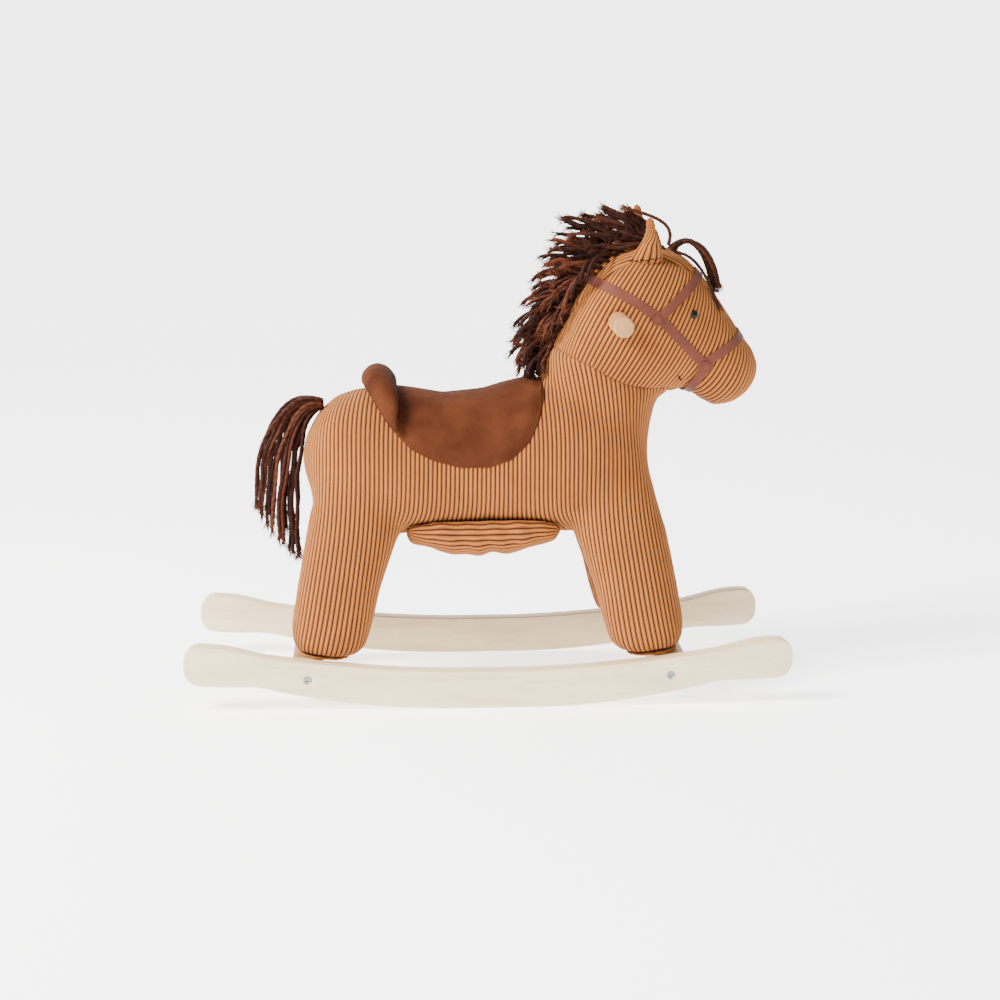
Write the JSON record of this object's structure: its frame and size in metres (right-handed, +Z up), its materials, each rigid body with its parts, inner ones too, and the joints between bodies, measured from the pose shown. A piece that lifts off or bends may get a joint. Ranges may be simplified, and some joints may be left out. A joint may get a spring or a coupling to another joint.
{
  "type": "rocking horse",
  "caption": "Stuffed corduroy horse with saddle, yarn mane and tail, bridle and wooden side grips, standing on a pair of curved wooden runners.",
  "frame": {"origin": "on the floor, under the middle of the two runners", "axes": "+X towards the horse's head, +Y towards its left side, +Z up"},
  "size_m": [0.73, 0.28, 0.5905],
  "materials": {
    "runner_birch": "satin",
    "frame_wood": "matte",
    "handle_wood": "satin",
    "zinc_screw": "satin",
    "corduroy": "matte",
    "suede": "matte",
    "bridle_ribbon": "matte",
    "yarn": "matte",
    "eye_black": "gloss"
  },
  "bodies": {
    "horse": {"runner_left": "runner_birch", "runner_right": "runner_birch", "crossbar_front": "frame_wood", "crossbar_rear": "frame_wood", "seat_board": "frame_wood", "neck_board": "frame_wood", "leg_post_front_left": "frame_wood", "leg_post_front_right": "frame_wood", "leg_post_rear_left": "frame_wood", "leg_post_rear_right": "frame_wood", "handle_dowel": "handle_wood", "runner_screw_front_left": "zinc_screw", "runner_screw_front_right": "zinc_screw", "runner_screw_rear_left": "zinc_screw", "runner_screw_rear_right": "zinc_screw", "bar_screw_front_left": "zinc_screw", "bar_screw_front_right": "zinc_screw", "bar_screw_rear_left": "zinc_screw", "bar_screw_rear_right": "zinc_screw", "seat_screw_front_left": "zinc_screw", "seat_screw_front_right": "zinc_screw", "seat_screw_rear_left": "zinc_screw", "seat_screw_rear_right": "zinc_screw", "neck_screw_front": "zinc_screw", "neck_screw_rear": "zinc_screw", "handle_lock_screw": "zinc_screw", "body_plush": "corduroy", "belly_gusset": "corduroy", "head_plush": "corduroy", "ear_left": "corduroy", "ear_right": "corduroy", "leg_plush_front_left": "corduroy", "leg_plush_front_right": "corduroy", "leg_plush_rear_left": "corduroy", "leg_plush_rear_right": "corduroy", "hoof_sole_front_left": "corduroy", "hoof_sole_front_right": "corduroy", "hoof_sole_rear_left": "corduroy", "hoof_sole_rear_right": "corduroy", "saddle": "suede", "saddle_cantle": "suede", "bridle_headstall": "bridle_ribbon", "bridle_browband": "bridle_ribbon", "bridle_noseband": "bridle_ribbon", "bridle_chinstrap": "bridle_ribbon", "mane": "yarn", "forelock": "yarn", "eye_left": "eye_black", "eye_right": "eye_black"},
    "tail": {"tail": "yarn"}
  },
  "joints": [
    {"name": "tail_lift", "type": "hinge", "parent": "horse", "child": "tail", "pos_m": [-0.2045, 0, 0.348], "axis": [0, 1, 0], "range_deg": [0, 65]}
  ]
}
